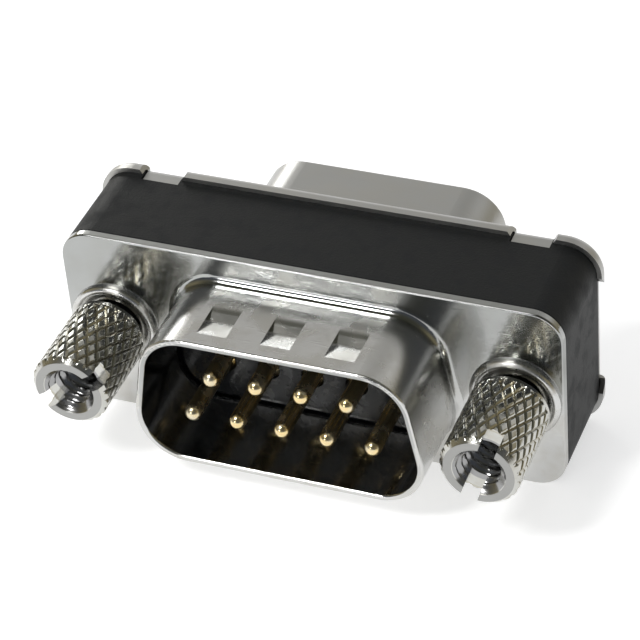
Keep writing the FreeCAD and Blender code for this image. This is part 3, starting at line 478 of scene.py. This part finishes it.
def knurled_head(sizes, radius, face, back):
    """Closed head: knurled outside, flat face, funnel and female thread."""
    count = sizes.knurl_count * KNURL_STEPS
    turns = np.arange(count) * FULL_TURN / count
    first, last = face - sizes.chamfer, back - sizes.chamfer - sizes.plain_band
    spacing = FULL_TURN * radius / sizes.knurl_count
    length = spacing / math.tan(sizes.knurl_angle)
    step = length / KNURL_STEPS
    corners = [face, face + sizes.chamfer, last, last + 0.02 * MM, back - sizes.chamfer, back]
    rungs = [rung for rung in np.arange(first, last, step) if rung > face]
    clear = [rung for rung in rungs if min(abs(rung - corner) for corner in corners) > 0.3 * step]
    stations = sorted(corners + clear)

    def nearness(station):
        across = turns * sizes.knurl_count / FULL_TURN
        along = (station - first) / length
        return [spacing * np.abs(line - np.round(line)) for line in (across + along, across - along)]

    def outside(station):
        reach = np.minimum(*nearness(station))
        cut = sizes.knurl_depth * np.clip(1 - 2 * reach / sizes.knurl_width, 0, 1)
        wall = radius - cut if station < last + 0.01 * MM else np.full(count, radius)
        cone = radius - sizes.chamfer + min(station - face, back - station)
        return np.minimum(wall, cone)

    def slant(row, column):
        middle = (stations[row] + stations[row + 1]) / 2
        rising, falling = nearness(middle)
        return falling[column] < rising[column]

    outer_rows = [(station, outside(station)) for station in stations]
    points, faces = lathe(outer_rows, count, slant)

    inner_count = count // 2
    inner_turns = turns[::2]
    rungs = int(math.ceil(sizes.hole_depth / sizes.pitch * THREAD_STEPS))
    inner_rows = []
    for rung in range(rungs + 1):
        station = face + sizes.hole_depth * rung / rungs
        funnel = sizes.mouth - (station - face)
        crest = thread_profile(station, inner_turns, sizes.pitch)
        wall = sizes.hole + sizes.thread_depth * (1 - crest)
        mouth = np.full(inner_count, sizes.mouth)
        inner_rows.append((station, np.maximum(wall, funnel) if rung else mouth))
    inner_points, inner_faces = lathe(inner_rows, inner_count)
    shift = len(points)
    faces += [tuple(index + shift for index in quad) for quad in inner_faces]
    for column in range(inner_count):
        following = shift + (column + 1) % inner_count
        near, middle, far = 2 * column, 2 * column + 1, (2 * column + 2) % count
        faces += [(near, middle, shift + column), (middle, far, following, shift + column)]
    points = np.concatenate([points, inner_points])
    caps = [
        (count * (len(stations) - 1), count, back),
        (shift + inner_count * rungs, inner_count, face + sizes.hole_depth + sizes.drill_point),
    ]
    return closed_mesh("head", points, faces, caps)


def shank(sizes, back, tip):
    """Closed shank: plain neck, clip groove and threaded stud with a chamfered tip."""
    count = SHANK_SIDES
    turns = np.arange(count) * FULL_TURN / count
    rows = [
        (back - SHANK_OVERLAP, sizes.neck), (sizes.groove_start, sizes.neck),
        (sizes.groove_start, sizes.groove), (sizes.groove_end, sizes.groove),
    ]
    rungs = int(math.ceil((tip - sizes.groove_end) / sizes.pitch * STUD_STEPS))
    for rung in range(rungs + 1):
        station = sizes.groove_end + (tip - sizes.groove_end) * rung / rungs
        crest = thread_profile(station, turns, sizes.pitch)
        wall = sizes.stud - sizes.thread_depth * (1 - crest)
        lead = min(station - sizes.groove_end + 0.15 * MM, tip - station)
        rows.append((station, np.minimum(wall, sizes.stud - sizes.tip_chamfer + lead)))
    points, faces = lathe(rows, count)
    caps = [(0, count, back - SHANK_OVERLAP), (count * (len(rows) - 1), count, tip)]
    return closed_mesh("shank", points, faces, caps)


def cut_slot(mesh, sizes, radius, face, turn):
    """Cut the screwdriver slot through the head's face and return the new mesh."""
    cutter = bpy.data.meshes.new("slot_cutter")
    work = bmesh.new()
    reach = 1.5 * radius
    bmesh.ops.create_cube(work, size=1.0, matrix=(
        Matrix.Rotation(-turn, 4, "Y")
        @ Matrix.Translation((0, face + (sizes.slot_depth - reach) / 2, 0))
        @ Matrix.Diagonal((2 * reach, sizes.slot_depth + reach, sizes.slot_width, 1))
    ))
    work.to_mesh(cutter)
    work.free()
    head = bpy.data.objects.new("head", mesh)
    blade = bpy.data.objects.new("blade", cutter)
    for piece in (head, blade):
        bpy.context.scene.collection.objects.link(piece)
    cut = head.modifiers.new("slot", "BOOLEAN")
    cut.operation, cut.solver, cut.object = "DIFFERENCE", "EXACT", blade
    done = bpy.data.meshes.new_from_object(head.evaluated_get(bpy.context.evaluated_depsgraph_get()))
    for piece in (head, blade):
        bpy.data.objects.remove(piece)
    if len(done.polygons) < 1000:
        raise RuntimeError("the slot's cut lost the head")
    return done


def joined(name, meshes):
    """One mesh of several, with creases kept sharp."""
    work = bmesh.new()
    for mesh in meshes:
        work.from_mesh(mesh)
    mesh = bpy.data.meshes.new(name)
    work.to_mesh(mesh)
    work.free()
    mesh.shade_smooth()
    mesh.set_sharp_from_angle(angle=CREASE)
    return mesh


# Operators.


class DSUB_OT_shells(bpy.types.Operator):
    """Nickel finishes of the two formed shells, with painted shade on the front flange's upper part"""

    bl_idname = "dsub.shells"
    bl_label = "Finish Shells"

    def execute(self, context):
        looks = context.scene.dsub_finishes

        material, tree, shader, where = new_material("polished_nickel", 1.0)
        plating = place_group(tree, "Plated Sheet", where,
                              blotch_scale=420, grain_scale=7000, grain_share=0.12)
        across, along, up = axes(tree, where)
        drawn = math_node(tree, "MULTIPLY", ramp(tree, along, -0.3 * MM, -1.0 * MM), facing_out(tree, where))
        edge = math_node(tree, "MAXIMUM", ramp(tree, math_node(tree, "ABSOLUTE", up), 6.20 * MM, 6.26 * MM),
                         ramp(tree, math_node(tree, "ABSOLUTE", across), 15.33 * MM, 15.39 * MM))
        sheet_colour = mix_colours(tree, math_node(tree, "MULTIPLY", plating.outputs["Blotches"], 0.45),
                                   looks.nickel, looks.nickel_warm)
        # Painted shade: the front flange's upper part, above the drawn D walls, is mixed towards the darker
        # nickel.
        painted_upper_shade = math_node(tree, "SUBTRACT", ramp(tree, up, -4.5 * MM, 3.5 * MM), drawn, clamp=True)
        paint(
            tree, shader,
            mix_colours(tree, math_node(tree, "MULTIPLY", painted_upper_shade, 0.75), sheet_colour, looks.nickel_painted_shade),
            weighed(tree, 0.11, (plating.outputs["Blotches"], 0.06), (drawn, 0.13), (edge, 0.35)),
        )
        bump(tree, shader, plating.outputs["Height"], 0.007 * MM)
        dress("pin_shell", material)

        material, tree, shader, where = new_material("satin_nickel", 1.0)
        plating = place_group(tree, "Plated Sheet", where, blotch_scale=350, grain_scale=6000)
        paint(
            tree, shader,
            mix_colours(tree, math_node(tree, "MULTIPLY", plating.outputs["Blotches"], 0.3),
                        looks.satin, looks.nickel_warm),
            weighed(tree, 0.33, (plating.outputs["Blotches"], 0.08)),
        )
        bump(tree, shader, plating.outputs["Height"], 0.006 * MM)
        dress("socket_shell", material)
        return {"FINISHED"}


class DSUB_OT_housing(bpy.types.Operator):
    """Fine-grained black moulding between the flanges"""

    bl_idname = "dsub.housing"
    bl_label = "Finish Housing"

    def execute(self, context):
        looks = context.scene.dsub_finishes
        material, tree, shader, where = new_material("moulded_black", 0.0, {"Specular IOR Level": 0.20})
        grain = place_group(tree, "Moulded Grain", where, grain_scale=9000, mottle_scale=800)
        specks = place_group(tree, "Dust Specks", where,
                             cell_scale=420, speck_size=0.035, empty_share=0.95)
        body = mix_colours(tree, grain.outputs["Mottle"], looks.moulding, looks.moulding_dull)
        paint(
            tree, shader, mix_colours(tree, specks.outputs["Specks"], body, looks.dust),
            ramp(tree, grain.outputs["Mottle"], 0, 1, 0.52, 0.62),
        )
        bump(tree, shader, grain.outputs["Height"], 0.012 * MM)
        dress("housing", material)
        return {"FINISHED"}


class DSUB_OT_insulators(bpy.types.Operator):
    """Smooth black insulators that hold the contacts"""

    bl_idname = "dsub.insulators"
    bl_label = "Finish Insulators"

    def execute(self, context):
        looks = context.scene.dsub_finishes
        material, tree, shader, where = new_material("insulator_black", 0.0, {"Specular IOR Level": 0.35})
        grain = place_group(tree, "Moulded Grain", where, grain_scale=5000, mottle_scale=1200)
        specks = place_group(tree, "Dust Specks", where,
                             cell_scale=900, speck_size=0.05, empty_share=0.9)
        body = mix_colours(tree, grain.outputs["Mottle"], looks.insulator, looks.moulding)
        paint(
            tree, shader, mix_colours(tree, specks.outputs["Specks"], body, looks.dust),
            ramp(tree, grain.outputs["Mottle"], 0, 1, 0.24, 0.34),
        )
        bump(tree, shader, grain.outputs["Height"], 0.004 * MM)
        for name in ("pin_insulator", "socket_insulator"):
            dress(name, material)
        return {"FINISHED"}


class DSUB_OT_contacts(bpy.types.Operator):
    """Gold-plated contacts"""

    bl_idname = "dsub.contacts"
    bl_label = "Finish Contacts"

    def execute(self, context):
        looks = context.scene.dsub_finishes
        material, tree, shader, where = new_material("gold_plate", 1.0)
        plating = place_group(tree, "Plated Sheet", where, blotch_scale=900, grain_scale=12000)
        paint(
            tree, shader, mix_colours(tree, plating.outputs["Blotches"], looks.gold, looks.gold_pale),
            ramp(tree, plating.outputs["Blotches"], 0, 1, 0.20, 0.30),
        )
        bump(tree, shader, plating.outputs["Height"], 0.002 * MM)
        for name in CONTACTS:
            dress(name, material)
        return {"FINISHED"}


class DSUB_OT_rivets(bpy.types.Operator):
    """Bright rolled rivets"""

    bl_idname = "dsub.rivets"
    bl_label = "Finish Rivets"

    def execute(self, context):
        looks = context.scene.dsub_finishes
        material, tree, shader, where = new_material("rivet_nickel", 1.0)
        plating = place_group(tree, "Plated Sheet", where, blotch_scale=700, grain_scale=9000)
        paint(
            tree, shader,
            mix_colours(tree, math_node(tree, "MULTIPLY", plating.outputs["Blotches"], 0.5),
                        looks.nickel, looks.nickel_warm),
            ramp(tree, plating.outputs["Blotches"], 0, 1, 0.24, 0.34),
        )
        bump(tree, shader, plating.outputs["Height"], 0.004 * MM)
        for side in SIDES:
            dress(f"eyelet_{side}", material)
        return {"FINISHED"}


class DSUB_OT_clips(bpy.types.Operator):
    """Spring steel retaining clips"""

    bl_idname = "dsub.clips"
    bl_label = "Finish Clips"

    def execute(self, context):
        looks = context.scene.dsub_finishes
        material, tree, shader, where = new_material("spring_steel", 1.0)
        plating = place_group(tree, "Plated Sheet", where, blotch_scale=800, grain_scale=8000)
        paint(
            tree, shader, mix_colours(tree, plating.outputs["Blotches"], looks.steel, looks.nickel_warm),
            ramp(tree, plating.outputs["Blotches"], 0, 1, 0.30, 0.45),
        )
        bump(tree, shader, plating.outputs["Height"], 0.004 * MM)
        for side in SIDES:
            dress(f"retaining_clip_{side}", material)
        return {"FINISHED"}


class DSUB_OT_jackscrews(bpy.types.Operator):
    """Jackscrews with knurl, slot and both threads"""

    bl_idname = "dsub.jackscrews"
    bl_label = "Build Jackscrews"

    def execute(self, context):
        looks = context.scene.dsub_finishes
        sizes = context.scene.dsub_screws
        material, tree, shader, where = new_material("screw_nickel", 1.0)
        plating = place_group(tree, "Plated Sheet", where, blotch_scale=900, grain_scale=11000)
        low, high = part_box("jackscrew_left")
        radius, face = (high.x - low.x) / 2, low.y
        across, along, up = axes(tree, where)
        flat = add_node(tree, "ShaderNodeCombineXYZ")
        tree.links.new(across, flat.inputs["X"])
        tree.links.new(up, flat.inputs["Y"])
        reach = add_node(tree, "ShaderNodeVectorMath", operation="LENGTH")
        tree.links.new(flat.outputs["Vector"], reach.inputs["Vector"])
        reach = reach.outputs["Value"]
        front, rear = face + sizes.chamfer, face + sizes.head_length - sizes.chamfer - sizes.plain_band
        knurled = math_node(
            tree, "MULTIPLY",
            math_node(tree, "GREATER_THAN", reach, radius - 1.5 * sizes.knurl_depth),
            math_node(tree, "MULTIPLY", math_node(tree, "GREATER_THAN", along, front),
                      math_node(tree, "LESS_THAN", along, rear)),
        )
        # Painted shade in the knurl's grooves, darker towards their bottoms.
        grooves = math_node(
            tree, "MULTIPLY", knurled,
            ramp(tree, reach, radius - 0.02 * MM, radius - sizes.knurl_depth),
        )
        turned = math_node(tree, "LESS_THAN", along, face + 0.01 * MM)
        # Painted shade: the funnel and thread inside the head are painted a darker grey; this mask also adds
        # a little roughness.
        inside = math_node(
            tree, "MULTIPLY", math_node(tree, "LESS_THAN", reach, sizes.mouth - 0.05 * MM),
            math_node(tree, "LESS_THAN", along, face + sizes.hole_depth + sizes.drill_point),
        )
        # The tint mixes random plating blotches with the grooves' painted shade.
        tint = weighed(tree, 0.0, (plating.outputs["Blotches"], 0.35), (grooves, 0.6))
        body = mix_colours(tree, tint, looks.screw, looks.screw_tint_and_shade)
        body = mix_colours(tree, inside, body, looks.thread_painted_shade)
        paint(
            # Painted shade: the machined faces get the darker turned-face colour; their extra roughness and
            # turned rings are real.
            tree, shader, mix_colours(tree, turned, body, looks.turned_face_shade),
            weighed(tree, 0.14, (plating.outputs["Blotches"], 0.08), (turned, 0.14), (inside, 0.04)),
        )
        rings = add_node(tree, "ShaderNodeTexWave", {"Scale": 1800, "Distortion": 0.6, "Detail": 2},
                         wave_type="RINGS", rings_direction="Y")
        tree.links.new(where, rings.inputs["Vector"])
        height = weighed(tree, plating.outputs["Height"], (math_node(
            tree, "MULTIPLY", rings.outputs["Fac"], turned), 0.6))
        bump(tree, shader, height, 0.003 * MM)

        for side, turn in zip(SIDES, (sizes.slot_left, sizes.slot_right)):
            low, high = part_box(f"jackscrew_{side}")
            middle, tip = (low.x + high.x) / 2, high.y
            back = face + sizes.head_length
            head = knurled_head(sizes, radius, face, back)
            head = cut_slot(head, sizes, radius, face, turn)
            mesh = joined(f"jackscrew_{side}_turned", [head, shank(sizes, back, tip)])
            mesh.materials.append(material)
            piece = bpy.data.objects.new(f"jackscrew_{side}_turned", mesh)
            piece.location = (middle, 0, 0)
            context.scene.collection.objects.link(piece)
            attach(piece, f"screw_{side}")
            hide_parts(f"jackscrew_{side}")
        return {"FINISHED"}


class DSUB_OT_stage(bpy.types.Operator):
    """Pale floor, soft lights and the camera"""

    bl_idname = "dsub.stage"
    bl_label = "Build Studio"

    def execute(self, context):
        studio = context.scene.dsub_studio
        self.build_floor(context, studio)
        self.build_world(context, studio)
        self.add_light(context, "key_light", (-0.051, -0.080, 0.129), (0.030, 0.045), studio.key)
        self.add_light(context, "fill_light", (-0.064, -0.182, 0.053), (0.045, 0.032), studio.fill)
        self.add_light(context, "rim_light", (-0.128, 0.143, 0.054), (0.05, 0.06), studio.rim)
        self.add_camera(context, studio)
        view = context.scene.view_settings
        view.view_transform = "Standard"
        return {"FINISHED"}

    def build_floor(self, context, studio):
        front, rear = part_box("pin_shell")[0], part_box("socket_shell")
        drop = (rear[0].z - front.z) / (rear[1].y - SOCKET_SHELL_DEPTH)
        base = front.z - FLOOR_GAP - FLANGE_MIDDLE * drop
        mesh = bpy.data.meshes.new("floor")
        reach = FLOOR_REACH
        corners = [(-reach, -reach), (reach, -reach), (reach, reach), (-reach, reach)]
        mesh.from_pydata([(x, y, base + y * drop) for x, y in corners], [], [(0, 1, 2, 3)])
        material, tree, shader, where = new_material("pale_floor", 0.0, {"Roughness": 0.9})
        paper = add_node(tree, "ShaderNodeTexNoise", {"Scale": 40, "Detail": 3})
        tree.links.new(where, paper.inputs["Vector"])
        shade = tuple(0.985 * value for value in studio.floor[:3]) + (1,)
        tree.links.new(
            mix_colours(tree, paper.outputs["Fac"], studio.floor, shade), shader.inputs["Base Color"]
        )
        shader.inputs["Emission Color"].default_value = (1, 1, 1, 1)
        tree.links.new(
            math_node(tree, "MULTIPLY", self.shown_rays(tree), studio.floor_lift),
            shader.inputs["Emission Strength"],
        )
        mesh.materials.append(material)
        floor = bpy.data.objects.new("floor", mesh)
        context.scene.collection.objects.link(floor)

    @staticmethod
    def shown_rays(tree):
        """1 for rays that show the background: from the camera, in gloss or through glass."""
        path = add_node(tree, "ShaderNodeLightPath")
        seen = math_node(tree, "MAXIMUM", path.outputs["Is Camera Ray"], path.outputs["Is Glossy Ray"])
        return math_node(tree, "MAXIMUM", seen, path.outputs["Is Transmission Ray"])

    def build_world(self, context, studio):
        world = bpy.data.worlds.new("studio")
        context.scene.world = world
        world.use_nodes = True
        tree = world.node_tree
        tree.nodes.clear()
        direction = add_node(tree, "ShaderNodeTexCoord").outputs["Generated"]
        across, along, up = axes(tree, direction)
        room = mix_colours(tree, ramp(tree, along, -0.2, -0.8), studio.sides, studio.front)
        room = mix_colours(tree, ramp(tree, up, 0.30, 0.85), room, studio.ceiling)
        backdrop = math_node(tree, "MULTIPLY", ramp(tree, along, -0.2, 0.3), math_node(
            tree, "MULTIPLY", ramp(tree, math_node(tree, "ABSOLUTE", across), 0.75, 0.35),
            ramp(tree, up, 0.98, 0.30),
        ))
        path = add_node(tree, "ShaderNodeLightPath")
        backdrop = math_node(tree, "MAXIMUM", backdrop, path.outputs["Is Camera Ray"])
        wall = mix_colours(tree, backdrop, room, (1, 1, 1, 1))
        shown = add_node(tree, "ShaderNodeBackground", {"Strength": 1.0})
        tree.links.new(wall, shown.inputs["Color"])
        lit = add_node(tree, "ShaderNodeBackground", {"Color": (0.97, 0.98, 1, 1), "Strength": studio.room})
        chosen = add_node(tree, "ShaderNodeMixShader")
        tree.links.new(self.shown_rays(tree), chosen.inputs[0])
        tree.links.new(lit.outputs[0], chosen.inputs[1])
        tree.links.new(shown.outputs[0], chosen.inputs[2])
        output = add_node(tree, "ShaderNodeOutputWorld")
        tree.links.new(chosen.outputs[0], output.inputs["Surface"])

    def add_light(self, context, name, place, size, power):
        lamp = bpy.data.lights.new(name, "AREA")
        lamp.shape, lamp.size, lamp.size_y, lamp.energy = "RECTANGLE", size[0], size[1], power
        holder = bpy.data.objects.new(name, lamp)
        holder.location = place
        holder.rotation_euler = (-Vector(place)).to_track_quat("-Z", "Y").to_euler()
        holder.visible_camera = False
        context.scene.collection.objects.link(holder)

    def add_camera(self, context, studio):
        camera = bpy.data.cameras.new("camera")
        camera.lens, camera.sensor_width, camera.sensor_fit = studio.lens, 36, "HORIZONTAL"
        camera.clip_start, camera.clip_end = 0.005, 5
        holder = bpy.data.objects.new("camera", camera)
        right = Vector((0.93217029, 0.35511833, -0.07035282))
        above = Vector((-0.17051569, 0.60211981, 0.77998470))
        behind = Vector((0.31934769, -0.71508231, 0.62183145))
        turn = Matrix((right, above, behind)).transposed().to_4x4()
        holder.matrix_world = Matrix.Translation((0.05243408, -0.11558304, 0.10359335)) @ turn
        context.scene.collection.objects.link(holder)
        context.scene.camera = holder


class DSUB_PT_panel(bpy.types.Panel):
    """Sizes, finishes and steps of the adapter's looks"""

    bl_idname = "DSUB_PT_panel"
    bl_label = "D-sub Adapter"
    bl_space_type = "VIEW_3D"
    bl_region_type = "UI"
    bl_category = "D-sub"

    def draw(self, context):
        for step in STEPS:
            self.layout.operator(step.bl_idname)
        for group in (context.scene.dsub_screws, context.scene.dsub_finishes, context.scene.dsub_studio):
            box = self.layout.box()
            for name in group.__annotations__:
                box.prop(group, name)


STEPS = (
    DSUB_OT_shells, DSUB_OT_housing, DSUB_OT_insulators, DSUB_OT_contacts,
    DSUB_OT_rivets, DSUB_OT_clips, DSUB_OT_jackscrews, DSUB_OT_stage,
)
CLASSES = (ScrewSizes, Finishes, StudioSizes, *STEPS, DSUB_PT_panel)


def register():
    for item in CLASSES:
        bpy.utils.register_class(item)
    bpy.types.Scene.dsub_screws = PointerProperty(type=ScrewSizes)
    bpy.types.Scene.dsub_finishes = PointerProperty(type=Finishes)
    bpy.types.Scene.dsub_studio = PointerProperty(type=StudioSizes)


def unregister():
    del bpy.types.Scene.dsub_studio
    del bpy.types.Scene.dsub_finishes
    del bpy.types.Scene.dsub_screws
    for item in reversed(CLASSES):
        bpy.utils.unregister_class(item)


def main():
    register()
    for build in (plated_sheet_group, moulded_grain_group, dust_group):
        build()
    for step in STEPS:
        group, name = step.bl_idname.split(".")
        getattr(getattr(bpy.ops, group), name)()


if __name__ == "__main__":
    main()
